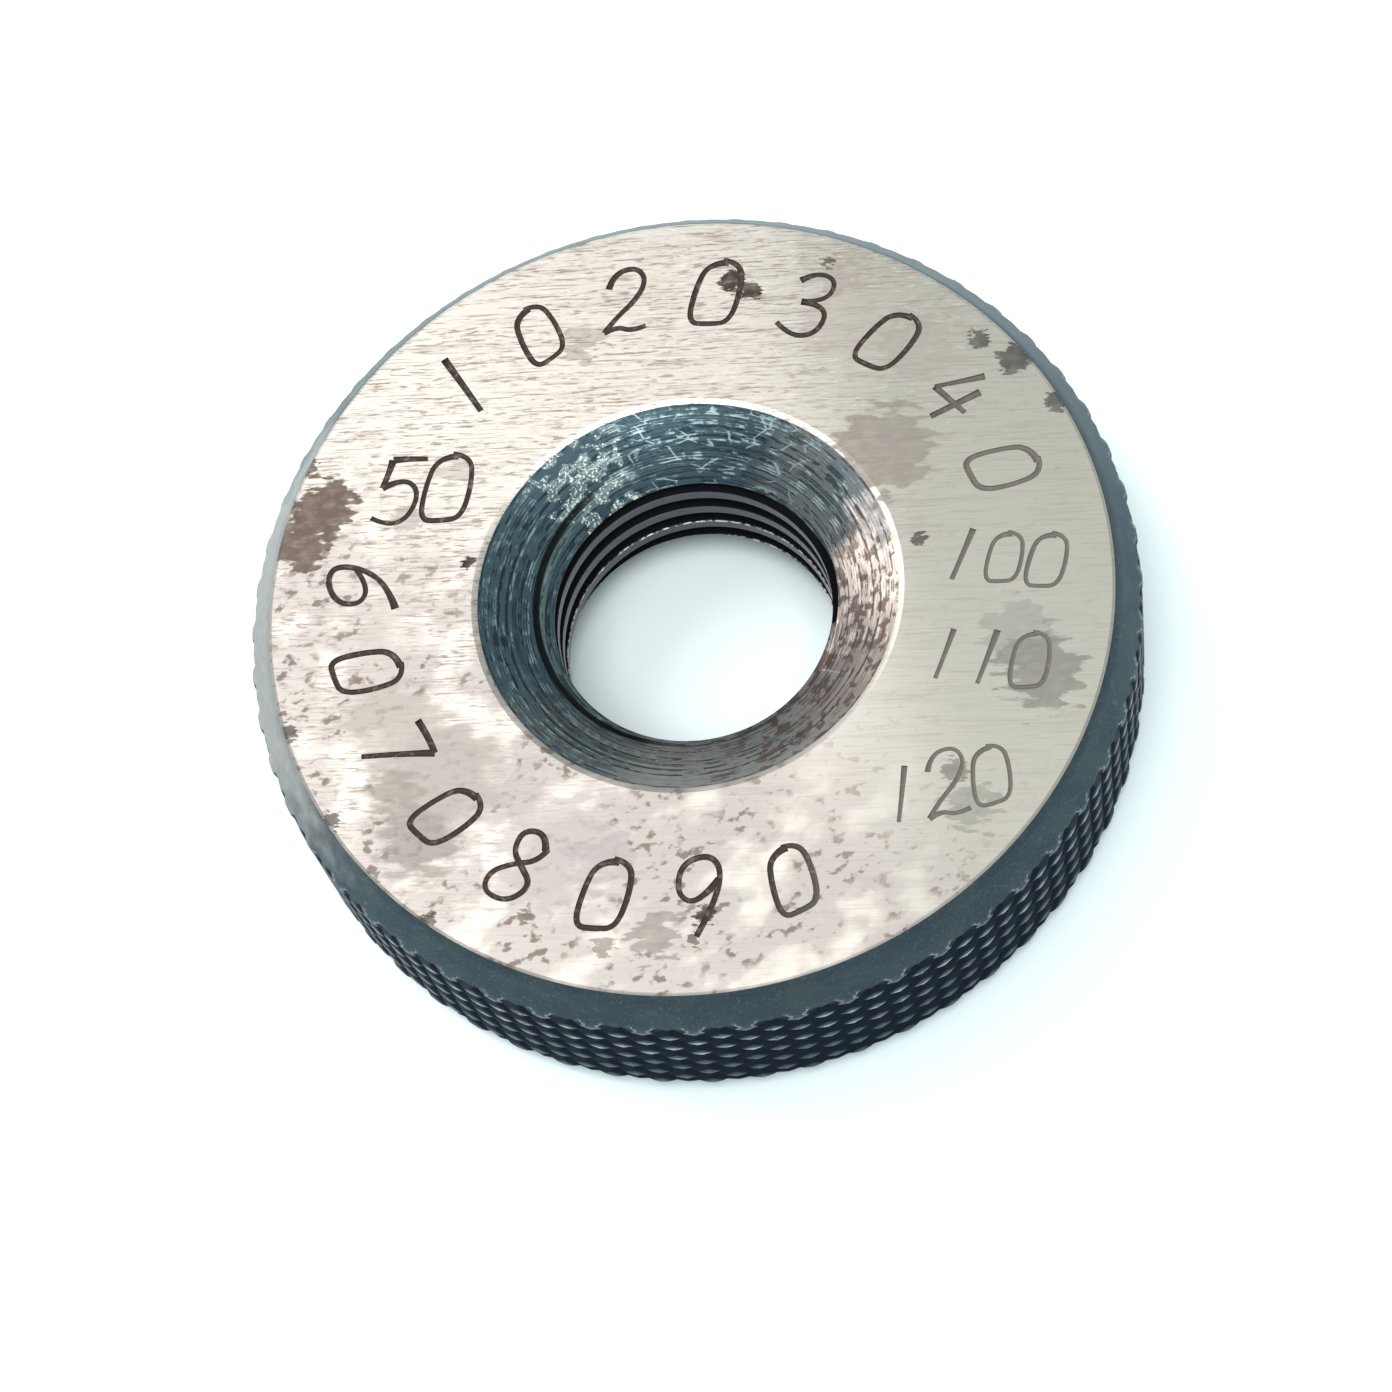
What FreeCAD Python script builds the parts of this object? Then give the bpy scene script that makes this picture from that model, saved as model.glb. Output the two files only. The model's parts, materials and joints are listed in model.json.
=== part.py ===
import FreeCAD, Part
import math
import os

# Thread ring gauge: one turned, knurled and threaded ring of hardened tool steel.
# Millimetres and degrees. The origin is the centre of the bottom face and +Z is the axis.
# The marked face is the upper one.

# Ring
thickness = 8.0
rim_diameter = 34.1
marked_face_diameter = 32.0
top_chamfer_height = 1.35
bottom_chamfer_height = 0.8

# Countersinks, the same on both faces, measured down to the thread's crest
countersink_diameter = 16.0
countersink_depth = 1.9
mouth_break_width = 0.22
mouth_break_depth = 0.07

# Left-hand thread, M12 with a fine pitch of 1.25
thread_pitch = 1.25
crest_diameter = 10.7
pitch_diameter = 10.95
relief_diameter = 12.2
relief_width = 0.15
flank_angle = 60.0
groove_depth_at_mark = 2.0
groove_mark_angle = 68.0

# Diamond knurl
knurl_columns = 56
diamond_height = 1.13
knurl_depth = 0.27
first_row_depth = 2.0
first_column_angle = -89.7

# Worked out from the sizes above
rim_radius = rim_diameter / 2
marked_face_radius = marked_face_diameter / 2
rim_chamfer_slope = (rim_radius - marked_face_radius) / top_chamfer_height
bottom_face_radius = rim_radius - bottom_chamfer_height * rim_chamfer_slope
countersink_radius = countersink_diameter / 2
crest_radius = crest_diameter / 2
countersink_slope = (countersink_radius - crest_radius) / (countersink_depth - mouth_break_depth)
pilot_radius = crest_radius / 2
blank_radius = rim_radius + knurl_depth
valley_radius = rim_radius - knurl_depth
column_step = 360.0 / knurl_columns
row_step = diamond_height / 2

# A cutter goes this far past the surface that it cuts
cutter_room = thickness / 4

centre = FreeCAD.Vector(0, 0, 0)
axis = FreeCAD.Vector(0, 0, 1)


def point_on_ring(radius, angle, height):
    """Point at a radius, an angle in degrees and a height."""
    turn = math.radians(angle)
    return FreeCAD.Vector(radius * math.cos(turn), radius * math.sin(turn), height)


def polygon_face(points):
    """Flat face inside a closed run of points."""
    return Part.Face(Part.makePolygon(points + [points[0]]))


def blank_profile():
    """Half section of the ring's blank, in the XZ plane: a pilot hole and two rim chamfers."""
    outline = [
        (pilot_radius, 0.0),
        (bottom_face_radius, 0.0),
        (blank_radius, (blank_radius - bottom_face_radius) / rim_chamfer_slope),
        (blank_radius, thickness - (blank_radius - marked_face_radius) / rim_chamfer_slope),
        (marked_face_radius, thickness),
        (pilot_radius, thickness),
    ]
    return polygon_face([FreeCAD.Vector(radius, 0, height) for radius, height in outline])


def knurl_cutter():
    """Closed waste outside the pyramids of the knurl, over a little more than one column.

    The knurl is a lattice of columns half a step apart. Each column goes up and down between
    a pyramid's apex and the crossing of two grooves, and neighbours are half a row apart, so
    each cell of the lattice is two flat triangles that meet in a groove. The last crossings
    are one row above the first full row of pyramids, and the grooves rise from there to the
    rim's surface, which leaves scallops in the upper chamfer.
    """
    first_row_height = thickness - first_row_depth
    rows_below = math.ceil((first_row_height + cutter_room) / row_step)
    rows_above = math.ceil((first_row_depth + cutter_room) / row_step)
    rows = range(-rows_below, rows_above + 1)
    columns = range(-1, 4)
    outer_radius = blank_radius + cutter_room

    def height(row):
        return first_row_height + row * row_step

    def knurl_point(column, row):
        is_crossing = (column + row) % 2 == 1 and row <= 1
        radius = valley_radius if is_crossing else rim_radius
        return point_on_ring(radius, column * column_step / 2, height(row))

    def outer_point(column, row):
        return point_on_ring(outer_radius, column * column_step / 2, height(row))

    faces = []
    for column in columns[:-1]:
        for row in rows[:-1]:
            low_left = knurl_point(column, row)
            low_right = knurl_point(column + 1, row)
            high_left = knurl_point(column, row + 1)
            high_right = knurl_point(column + 1, row + 1)
            if (column + row) % 2 == 0:
                faces.append(polygon_face([low_left, low_right, high_left]))
                faces.append(polygon_face([high_right, high_left, low_right]))
            else:
                faces.append(polygon_face([low_right, high_right, low_left]))
                faces.append(polygon_face([high_left, low_left, high_right]))
        for row in (rows[0], rows[-1]):
            inner = [knurl_point(column, row), knurl_point(column + 1, row)]
            outer = [outer_point(column + 1, row), outer_point(column, row)]
            faces.append(polygon_face(inner + outer))
        faces.append(polygon_face([
            outer_point(column, rows[0]),
            outer_point(column + 1, rows[0]),
            outer_point(column + 1, rows[-1]),
            outer_point(column, rows[-1]),
        ]))
    for column in (columns[0], columns[-1]):
        edge = [knurl_point(column, row) for row in rows]
        back = [outer_point(column, rows[-1]), outer_point(column, rows[0])]
        faces.append(polygon_face(edge + back))
    shell = Part.makeShell(faces)
    shell.sewShape()
    cutter = Part.Solid(shell)
    if cutter.Volume < 0:
        cutter.reverse()
    return cutter


def knurled_ring():
    """Blank with its knurl, made as one sector that is repeated round the axis and sewn."""
    # The sector starts a third of the way between two columns, so that its sides cross
    # the pyramids away from their corners.
    sector_start = column_step / 6
    profile = blank_profile()
    profile.rotate(centre, axis, sector_start)
    sector = profile.revolve(centre, axis, column_step).cut(knurl_cutter())

    def is_side(face):
        if not isinstance(face.Surface, Part.Plane):
            return False
        normal = face.normalAt(0, 0)
        middle = face.CenterOfMass
        across = abs(normal.x * middle.y - normal.y * middle.x)
        return abs(normal.z) < 1e-9 and abs(across - math.hypot(middle.x, middle.y)) < 1e-6

    skin = [face for face in sector.Faces if not is_side(face)]
    faces = []
    for column in range(knurl_columns):
        for face in skin:
            copy = face.copy()
            copy.rotate(centre, axis, first_column_angle + column * column_step)
            faces.append(copy)
    shell = Part.makeShell(faces)
    shell.sewShape()
    ring = Part.Solid(shell)
    if ring.Volume < 0:
        ring.reverse()
    unifier = Part.ShapeUpgrade.UnifySameDomain(ring, True, True, False)
    unifier.build()
    return unifier.shape()


def bore_and_countersinks():
    """Waste of the bore, both countersinks and the small breaks at their mouths."""
    mouth = countersink_radius
    break_slope = mouth_break_width / mouth_break_depth
    outer_radius = mouth + (mouth_break_depth + cutter_room) * break_slope
    outline = [
        (0.0, -cutter_room),
        (outer_radius, -cutter_room),
        (mouth, mouth_break_depth),
        (crest_radius, countersink_depth),
        (crest_radius, thickness - countersink_depth),
        (mouth, thickness - mouth_break_depth),
        (outer_radius, thickness + cutter_room),
        (0.0, thickness + cutter_room),
    ]
    profile = polygon_face([FreeCAD.Vector(radius, 0, height) for radius, height in outline])
    return profile.revolve(centre, axis, 360)


def thread_groove():
    """Waste of the thread: one left-hand helical groove through the whole bore.

    Its flanks lean by half the flank angle, and a narrow relief slot clears the tips of the
    mating thread. Both ends stop in the open air of the countersinks, so the groove runs out
    on their cones.
    """
    lean = math.tan(math.radians(flank_angle / 2))
    pitch_radius = pitch_diameter / 2
    relief_radius = relief_diameter / 2
    mouth_radius = crest_radius - thread_pitch / 8
    mouth_half_width = thread_pitch / 4 + (pitch_radius - mouth_radius) * lean
    relief_start = pitch_radius + (thread_pitch / 4 - relief_width / 2) / lean
    outline = [
        (mouth_radius, -mouth_half_width),
        (relief_start, -relief_width / 2),
        (relief_radius, -relief_width / 2),
        (relief_radius, relief_width / 2),
        (relief_start, relief_width / 2),
        (mouth_radius, mouth_half_width),
    ]
    points = [FreeCAD.Vector(radius, 0, height) for radius, height in outline]
    relief_to_crest = (relief_radius - crest_radius) / countersink_slope
    start_height = countersink_depth - relief_to_crest - thread_pitch / 2
    helix = Part.makeLongHelix(thread_pitch, thickness - 2 * start_height, pitch_radius, 0, True)
    sweep = Part.BRepOffsetAPI.MakePipeShell(Part.Wire(helix.Edges))
    sweep.setFrenetMode(True)
    sweep.add(Part.makePolygon(points + [points[0]]))
    sweep.build()
    sweep.makeSolid()
    groove = sweep.shape()
    turns_to_mark = (thickness - groove_depth_at_mark - start_height) / thread_pitch
    groove.rotate(centre, axis, groove_mark_angle + turns_to_mark * 360)
    groove.translate(axis * start_height)
    return groove


def gauge_ring():
    """The whole gauge: knurled blank, then bore and countersinks, then the thread."""
    return knurled_ring().cut(bore_and_countersinks()).cut(thread_groove()).Solids[0]


os.makedirs("parts", exist_ok=True)
ring = gauge_ring()
print("gauge_ring: faces", len(ring.Faces), "valid", ring.isValid(), "volume", round(ring.Volume, 2))
ring.exportStep("parts/gauge_ring.step")
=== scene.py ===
"""Looks of a knurled thread ring gauge: its steel body, scribed numbers, finishes and studio.

Meshes are shaped in millimetres and brought to metres when they are finished. Angles are in
degrees, counted about the gauge's axis from +X, and the marked face looks along +Z.
"""
import json
import logging
import math
import random
from abc import ABC, abstractmethod
from dataclasses import dataclass
from enum import Enum
from functools import reduce
from typing import Optional, Union

import bmesh
import bpy
from mathutils import Matrix, Vector, noise

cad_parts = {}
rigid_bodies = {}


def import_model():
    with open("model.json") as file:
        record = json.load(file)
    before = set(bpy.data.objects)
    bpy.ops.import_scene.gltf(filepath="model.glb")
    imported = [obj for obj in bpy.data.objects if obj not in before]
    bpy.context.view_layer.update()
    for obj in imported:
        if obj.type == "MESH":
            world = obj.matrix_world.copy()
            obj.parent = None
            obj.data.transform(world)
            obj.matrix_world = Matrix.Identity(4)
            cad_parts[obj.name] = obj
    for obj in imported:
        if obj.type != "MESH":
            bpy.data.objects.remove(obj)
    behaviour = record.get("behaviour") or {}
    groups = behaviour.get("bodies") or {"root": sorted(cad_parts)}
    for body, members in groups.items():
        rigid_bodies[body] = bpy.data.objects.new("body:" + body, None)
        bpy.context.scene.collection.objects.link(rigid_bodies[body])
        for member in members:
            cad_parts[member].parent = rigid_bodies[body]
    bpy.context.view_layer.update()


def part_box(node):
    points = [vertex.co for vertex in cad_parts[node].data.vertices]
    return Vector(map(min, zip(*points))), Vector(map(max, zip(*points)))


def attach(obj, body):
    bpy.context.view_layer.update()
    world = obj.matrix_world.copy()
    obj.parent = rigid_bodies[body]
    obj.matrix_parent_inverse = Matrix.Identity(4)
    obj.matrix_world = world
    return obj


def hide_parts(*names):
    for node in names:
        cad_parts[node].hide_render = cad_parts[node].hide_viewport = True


LOG = logging.getLogger("thread_ring_gauge")
MM = 0.001
NODE = "gauge_ring"

Socket = bpy.types.NodeSocket
Value = Union[Socket, float, tuple, str]


def linear(hex_colour: str) -> tuple:
    """Turns an sRGB hex colour to linear light.

    Args:
        hex_colour: Colour such as "#e8e0d6".

    Returns:
        Red, green and blue in linear light, and an alpha of 1.
    """
    channels = [int(hex_colour[start:start + 2], 16) / 255 for start in (1, 3, 5)]
    light = [c / 12.92 if c <= 0.04045 else ((c + 0.055) / 1.055) ** 2.4 for c in channels]
    return (*light, 1.0)


def add_node(tree: bpy.types.NodeTree, kind: str, inputs: Optional[dict] = None, **settings: object) -> bpy.types.Node:
    """Adds one node with its settings, values and links.

    Args:
        tree: Node tree that gets the node.
        kind: Blender's name of the node's type.
        inputs: Values or output sockets, by the name or index of the input they go to.
        settings: The node's own properties.

    Returns:
        The new node.
    """
    node = tree.nodes.new(kind)
    for name, setting in settings.items():
        setattr(node, name, setting)
    for name, value in (inputs or {}).items():
        if isinstance(value, bpy.types.NodeSocket):
            tree.links.new(value, node.inputs[name])
        else:
            node.inputs[name].default_value = linear(value) if isinstance(value, str) else value
    return node


def add_object(name: str, data: object) -> bpy.types.Object:
    """Puts a mesh, curve, light or camera in the scene at the origin.

    Args:
        name: Name of the object.
        data: What it shows. A bmesh is made a mesh of the same name, and freed.

    Returns:
        The new object.
    """
    if isinstance(data, bmesh.types.BMesh):
        shape, data = data, bpy.data.meshes.new(name)
        shape.to_mesh(data)
        shape.free()
    added = bpy.data.objects.new(name, data)
    bpy.context.scene.collection.objects.link(added)
    return added


def spin(shape: bmesh.types.BMesh, geom: list, steps: int, turns: float = 1.0, drop: float = 0.0) -> None:
    """Spins vertices and edges, or a face, about the axis.

    Args:
        shape: Shape that holds them.
        geom: What is spun.
        steps: Copies that are made.
        turns: Turns about the axis.
        drop: Fall in each turn. A level turn closes on itself.
    """
    step = (0.0, 0.0, -turns * drop / steps)
    angle = turns * 2 * math.pi
    bmesh.ops.spin(shape, geom=geom, axis=(0.0, 0.0, 1.0), dvec=step, angle=angle, steps=steps, use_merge=not drop)


def spin_outline(outline: list, start_angle: float, steps: int, is_closed: bool = False) -> bmesh.types.BMesh:
    """Spins an outline a full turn about the axis.

    Args:
        outline: Radius and height of each corner.
        start_angle: Angle of the first copy of the outline.
        steps: Copies of the outline in the turn.
        is_closed: Whether the last corner joins the first.

    Returns:
        The spun shape.
    """
    shape = bmesh.new()
    start = Matrix.Rotation(math.radians(start_angle), 3, "Z")
    verts = [shape.verts.new(start @ Vector((radius, 0.0, height))) for radius, height in outline]
    ends = verts[1:] + verts[:1] if is_closed else verts[1:]
    edges = [shape.edges.new(pair) for pair in zip(verts, ends)]
    spin(shape, verts + edges, steps)
    return shape


def cut_away(target: bpy.types.Object, cutters: list) -> bpy.types.Mesh:
    """Cuts closed shapes out of a closed shape, and removes all the objects.

    Args:
        target: Object that is cut.
        cutters: Objects whose volume is taken away.

    Returns:
        The mesh that is left of the target.
    """
    for cutter in cutters:
        modifier = target.modifiers.new(cutter.name, "BOOLEAN")
        modifier.operation = "DIFFERENCE"
        modifier.solver = "EXACT"
        modifier.use_self = True
        modifier.object = cutter
    graph = bpy.context.evaluated_depsgraph_get()
    mesh = bpy.data.meshes.new_from_object(target.evaluated_get(graph))
    for leftover in [target, *cutters]:
        bpy.data.objects.remove(leftover)
    return mesh


@dataclass(frozen=True)
class RoundPlace:
    """A point's turn about the axis in radians, its radius and its height."""

    turn: Socket
    radius: Socket
    height: Socket


@dataclass(frozen=True)
class Net:
    """A finish's node tree and its coordinates, with the sums that its patterns are made of.

    A value is a socket or a number, and a colour is a socket or a hex string.
    """

    tree: bpy.types.NodeTree
    place: Socket

    def calc(self, operation: str, first: Value, second: Value = 0.0, third: Value = 0.0) -> Socket:
        """Result of Blender's sum of that name on up to three values."""
        inputs = {0: first, 1: second, 2: third}
        return add_node(self.tree, "ShaderNodeMath", inputs, operation=operation).outputs["Value"]

    def scaled(self, value: Value, factor: Value, offset: Value) -> Socket:
        """Value times a factor, plus an offset."""
        return self.calc("MULTIPLY_ADD", value, factor, offset)

    def product(self, first: Value, *factors: Value) -> Socket:
        """Product of several values."""
        return reduce(lambda result, factor: self.calc("MULTIPLY", result, factor), factors, first)

    def vector(self, operation: str, *values: Value) -> bpy.types.Node:
        """Node of Blender's vector sum of that name."""
        return add_node(self.tree, "ShaderNodeVectorMath", dict(enumerate(values)), operation=operation)

    def ramp(self, value: Value, low: float, high: float, top: float = 1.0) -> Socket:
        """Soft step of a value, from 0 at low to top at high. A falling step has its low above its high."""
        inputs = {"Value": value, "From Min": low, "From Max": high, "To Max": top}
        return add_node(self.tree, "ShaderNodeMapRange", inputs, interpolation_type="SMOOTHSTEP").outputs["Result"]

    def layered(self, base: Value, *layers: tuple) -> Socket:
        """Colours laid over a base in their order, each given with its amount from 0 to 1."""
        for colour, amount in layers:
            base = add_node(self.tree, "ShaderNodeMix", {0: amount, 6: base, 7: colour}, data_type="RGBA").outputs[2]
        return base

    def turned(self, size: tuple, turn: float = 0.0, place: Optional[Socket] = None) -> Socket:
        """Coordinates counted in grains of a size, after a turn in degrees about Z."""
        inputs = {"Vector": place or self.place, "Rotation": (0.0, 0.0, math.radians(turn)), "Scale": size}
        return add_node(self.tree, "ShaderNodeMapping", inputs, vector_type="TEXTURE").outputs["Vector"]

    def noise(self, place: Socket, detail: float, scale: float = 1.0) -> bpy.types.Node:
        """Noise node with its octaves of finer noise."""
        return add_node(self.tree, "ShaderNodeTexNoise", {"Vector": place, "Scale": scale, "Detail": detail})

    def grain(
        self, size: Union[tuple, float], detail: float = 2.0, turn: float = 0.0, place: Optional[Socket] = None
    ) -> Socket:
        """Noise from 0 to 1, with grains of a size in millimetres, or of three sizes along a turned X, Y and Z."""
        sizes = size if isinstance(size, tuple) else (size, size, size)
        return self.noise(self.turned(sizes, turn, place), detail).outputs["Fac"]

    def along(self, direction: float) -> Socket:
        """How far each point lies from the axis in a direction in degrees, in millimetres."""
        turn = math.radians(direction)
        return self.vector("DOT_PRODUCT", self.place, (math.cos(turn), math.sin(turn), 0.0)).outputs["Value"]

    def spot(self) -> RoundPlace:
        """Turn, radius and height of each point.

        Returns:
            The three as sockets.
        """
        parts = add_node(self.tree, "ShaderNodeSeparateXYZ", {0: self.place}).outputs
        flat = add_node(self.tree, "ShaderNodeCombineXYZ", {"X": parts["X"], "Y": parts["Y"]})
        length = self.vector("LENGTH", flat.outputs["Vector"])
        return RoundPlace(self.calc("ARCTAN2", parts["Y"], parts["X"]), length.outputs["Value"], parts["Z"])

    def bump(self, height: Value, depth: float, strength: float = 0.6) -> Socket:
        """Normal that a height gives, with its depth in millimetres."""
        inputs = {"Height": height, "Distance": depth * MM, "Strength": strength}
        return add_node(self.tree, "ShaderNodeBump", inputs).outputs["Normal"]


@dataclass(frozen=True)
class KnurledRim:
    """Outside of the ring: chamfers, and a rim with a rolled diamond knurl.

    Two families of V grooves cross and leave flat-topped pyramids. They are worked out on a
    lattice with columns and rows half a diamond apart and a crest where their sum is even, and
    run out in scallops on the upper chamfer.
    """

    rim_radius: float
    thickness: float
    face_radius: float = 16.0
    top_chamfer_height: float = 1.35
    bottom_chamfer_height: float = 0.8
    edge_break: float = 0.06
    face_margin: float = 0.1
    columns: int = 56
    diamond_height: float = 1.13
    knurl_depth: float = 0.27
    first_row_depth: float = 2.0
    first_column_angle: float = -89.7
    steps_per_half: int = 6
    top_row: int = 2
    bottom_row: int = -10
    land_share: float = 1 / 3
    crest_wear: float = 0.03
    wear_grain: tuple = (1.37, 0.73)
    edge_halvings: int = 16
    slack: float = 0.001

    @property
    def slope(self) -> float:
        """Radial growth of both chamfers for each millimetre of depth."""
        return (self.rim_radius - self.face_radius) / self.top_chamfer_height

    @property
    def bottom_radius(self) -> float:
        """Radius of the bottom face's edge."""
        return self.rim_radius - self.bottom_chamfer_height * self.slope

    @property
    def steps(self) -> int:
        """Steps of a full turn."""
        return self.columns * 2 * self.steps_per_half

    @property
    def column_angle(self) -> float:
        """Angle between neighbouring columns of the lattice, in radians."""
        return math.pi / self.columns

    @property
    def row_height(self) -> float:
        """Height between neighbouring rows of the lattice."""
        return self.diamond_height / 2

    @property
    def top_seam(self) -> float:
        """Radius where the rim's skin meets the marked face."""
        return self.face_radius - self.face_margin

    @property
    def bottom_seam(self) -> float:
        """Radius where the rim's skin meets the bottom face."""
        return self.bottom_radius - self.face_margin

    def column_of(self, point: Vector) -> float:
        """Column of the lattice at a point, counted from the first one."""
        turn = math.atan2(point.y, point.x) - math.radians(self.first_column_angle)
        return turn / self.column_angle

    def row_of(self, height: float) -> float:
        """Row of the lattice at a height, counted upwards from the first one."""
        return (height - (self.thickness - self.first_row_depth)) / self.row_height

    def height_of(self, row: float) -> float:
        """Height of a row of the lattice."""
        return self.thickness - self.first_row_depth + row * self.row_height

    def outline(self) -> list:
        """Radius and height of each ring of the skin, from the marked face down to the bottom one."""
        top, cone, middle = self.thickness, self.face_radius, self.top_chamfer_height / 3
        rings = [
            (self.top_seam, top),
            (cone - self.edge_break, top),
            (cone + self.edge_break * self.slope, top - self.edge_break),
            (cone + middle * self.slope, top - middle),
        ]
        steps = range(self.top_row * self.steps_per_half, self.bottom_row * self.steps_per_half - 1, -1)
        rings += [(self.rim_radius, self.height_of(step / self.steps_per_half)) for step in steps]
        rings += [
            (self.bottom_radius + self.edge_break * self.slope, self.edge_break),
            (self.bottom_radius - self.edge_break, 0.0),
            (self.bottom_seam, 0.0),
        ]
        return rings

    def blank_radius(self, height: float) -> float:
        """Radius of the chamfered blank at a height, before it is knurled."""
        top_cone = self.face_radius + (self.thickness - height) * self.slope
        bottom_cone = self.bottom_radius + height * self.slope
        return min(top_cone, bottom_cone, self.rim_radius)

    def knurl_radius(self, column: float, height: float) -> float:
        """Radius of the knurl, as if there were no chamfers.

        Args:
            column: Column of the lattice, or a share between two.
            height: Height over the bottom face.

        Returns:
            The radius, the rim's own on a crest's flat.
        """
        row = self.row_of(height)
        first, second = (column + row) / 2, (column - row) / 2
        first_crest, second_crest = round(first), round(second)
        height_share = 1 - 2 * max(abs(first - first_crest), abs(second - second_crest))
        relief = min(height_share / (1 - self.land_share), 1.0)
        if row < 0.5:
            across, up = self.wear_grain
            seed = Vector((first_crest % self.columns * across, second_crest * up % 97, 3.1))
            wear = self.crest_wear * (0.5 + 0.5 * noise.noise(seed)) / self.knurl_depth
            relief = min(relief, 1 - wear)
        run_out = min(max(self.top_row - row, 0.0), 1.0)
        return self.rim_radius - self.knurl_depth * run_out * (1 - relief)

    def cut_edge(self, column: float, outside: float, inside: float) -> float:
        """Height at which the knurl starts to cut the chamfered blank.

        Args:
            column: Column of the lattice.
            outside: Height where only the chamfer shows.
            inside: Height well into the knurl.

        Returns:
            The height between the two.
        """
        for _ in range(self.edge_halvings):
            middle = (outside + inside) / 2
            if self.blank_radius(middle) < self.knurl_radius(column, middle) - 1e-7:
                outside = middle
            else:
                inside = middle
        return inside

    def place_knurl(self, vert: bmesh.types.BMVert) -> None:
        """Moves one vertex of the spun skin onto the knurl, and the nearest ones onto its edges."""
        height = vert.co.z
        if not self.height_of(self.bottom_row) - self.slack < height < self.height_of(self.top_row) + self.slack:
            return
        column = self.column_of(vert.co)
        reach = self.row_height / self.steps_per_half / 2
        for outside, inside in ((self.top_row, 1), (self.bottom_row, self.bottom_row + 2)):
            edge = self.cut_edge(column, self.height_of(outside), self.height_of(inside))
            if abs(edge - height) < reach:
                height = edge
        radius = min(self.blank_radius(height), self.knurl_radius(column, height))
        turn = math.atan2(vert.co.y, vert.co.x)
        vert.co = (radius * math.cos(turn), radius * math.sin(turn), height)

    def split_along_grooves(self, skin: bmesh.types.BMesh) -> None:
        """Splits each square of the knurl along the groove of its cell, so that grooves stay sharp.

        Args:
            skin: The spun skin, before its vertices are moved.
        """
        low, high = self.height_of(self.bottom_row), self.height_of(self.top_row)
        for face in list(skin.faces):
            middle = face.calc_center_median()
            if not low < middle.z < high:
                continue
            column, row = self.column_of(middle), self.row_of(middle.z)
            crest_below = (math.floor(column) + math.floor(row)) % 2 == 0
            across = Vector((-middle.y, middle.x, 0.0))
            ends = []
            for vert in face.verts:
                ahead = (vert.co - middle).dot(across) > 0
                above = vert.co.z > middle.z
                if (ahead == above) != crest_below:
                    ends.append(vert)
            bmesh.utils.face_split(face, ends[0], ends[1])

    def skin(self) -> bmesh.types.BMesh:
        """Spins and shapes the rim's skin, open where it meets the two flat faces.

        Returns:
            The skin, in millimetres.
        """
        skin = spin_outline(self.outline(), self.first_column_angle, self.steps)
        self.split_along_grooves(skin)
        for vert in skin.verts:
            self.place_knurl(vert)
        return skin


class Finish(ABC):
    """One finish of the gauge or of the studio, as a procedural material."""

    name: str

    @abstractmethod
    def look(self, net: Net) -> dict:
        """Builds the finish's nodes, and gives the inputs of its shader by name."""

    def material(self) -> bpy.types.Material:
        """Makes the material, with its coordinates in millimetres.

        Returns:
            The material.
        """
        material = bpy.data.materials.new(self.name)
        material.use_nodes = True
        tree = material.node_tree
        tree.nodes.clear()
        coordinates = add_node(tree, "ShaderNodeTexCoord").outputs["Object"]
        place = add_node(tree, "ShaderNodeVectorMath", {0: coordinates, "Scale": 1 / MM}, operation="SCALE")
        shader = add_node(tree, "ShaderNodeBsdfPrincipled", self.look(Net(tree, place.outputs["Vector"])))
        add_node(tree, "ShaderNodeOutputMaterial", {"Surface": shader.outputs["BSDF"]})
        return material


@dataclass(frozen=True)
class Zone:
    """Sector of a round surface with a colour of its own: worn or changed finish, and on the countersink painted light
    and shade too.
    """

    direction: float
    reach: float
    colour: str
    strength: float = 1.0
    fade: float = 14.0

    def amount(self, net: Net, spot: RoundPlace, ragged: Socket) -> Socket:
        """Share of the zone's colour at each point.

        Args:
            net: The finish's nodes.
            spot: The point.
            ragged: Noise from 0 to 1 that roughens the zone's ends.

        Returns:
            The amount, from 0 to the zone's strength.
        """
        facing = net.calc("COSINE", net.calc("SUBTRACT", spot.turn, math.radians(self.direction)))
        rough_facing = net.scaled(ragged, 0.3, facing)
        low = math.cos(math.radians(self.reach + self.fade)) + 0.15
        high = math.cos(math.radians(max(self.reach - self.fade, 0.0))) + 0.15
        return net.ramp(rough_facing, low, high, self.strength)


@dataclass(frozen=True)
class Stain:
    """A mark left on the steel, as a patch with a ragged outline."""

    x: float
    y: float
    radius: float
    strength: float
    colour: str
    softness: float = 0.12
    z: float = 8.0

    def amount(self, net: Net, bent: Socket) -> Socket:
        """Share of the stain's colour at each point, whose coordinates noise has bent for a ragged outline."""
        away = net.vector("DISTANCE", bent, (self.x, self.y, self.z)).outputs["Value"]
        return net.ramp(away, self.radius * (1 + self.softness), self.radius * (1 - self.softness), self.strength)


BROWN_BLOT, BLACK_DIRT = "#6b5c54", "#3b302b"

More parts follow.
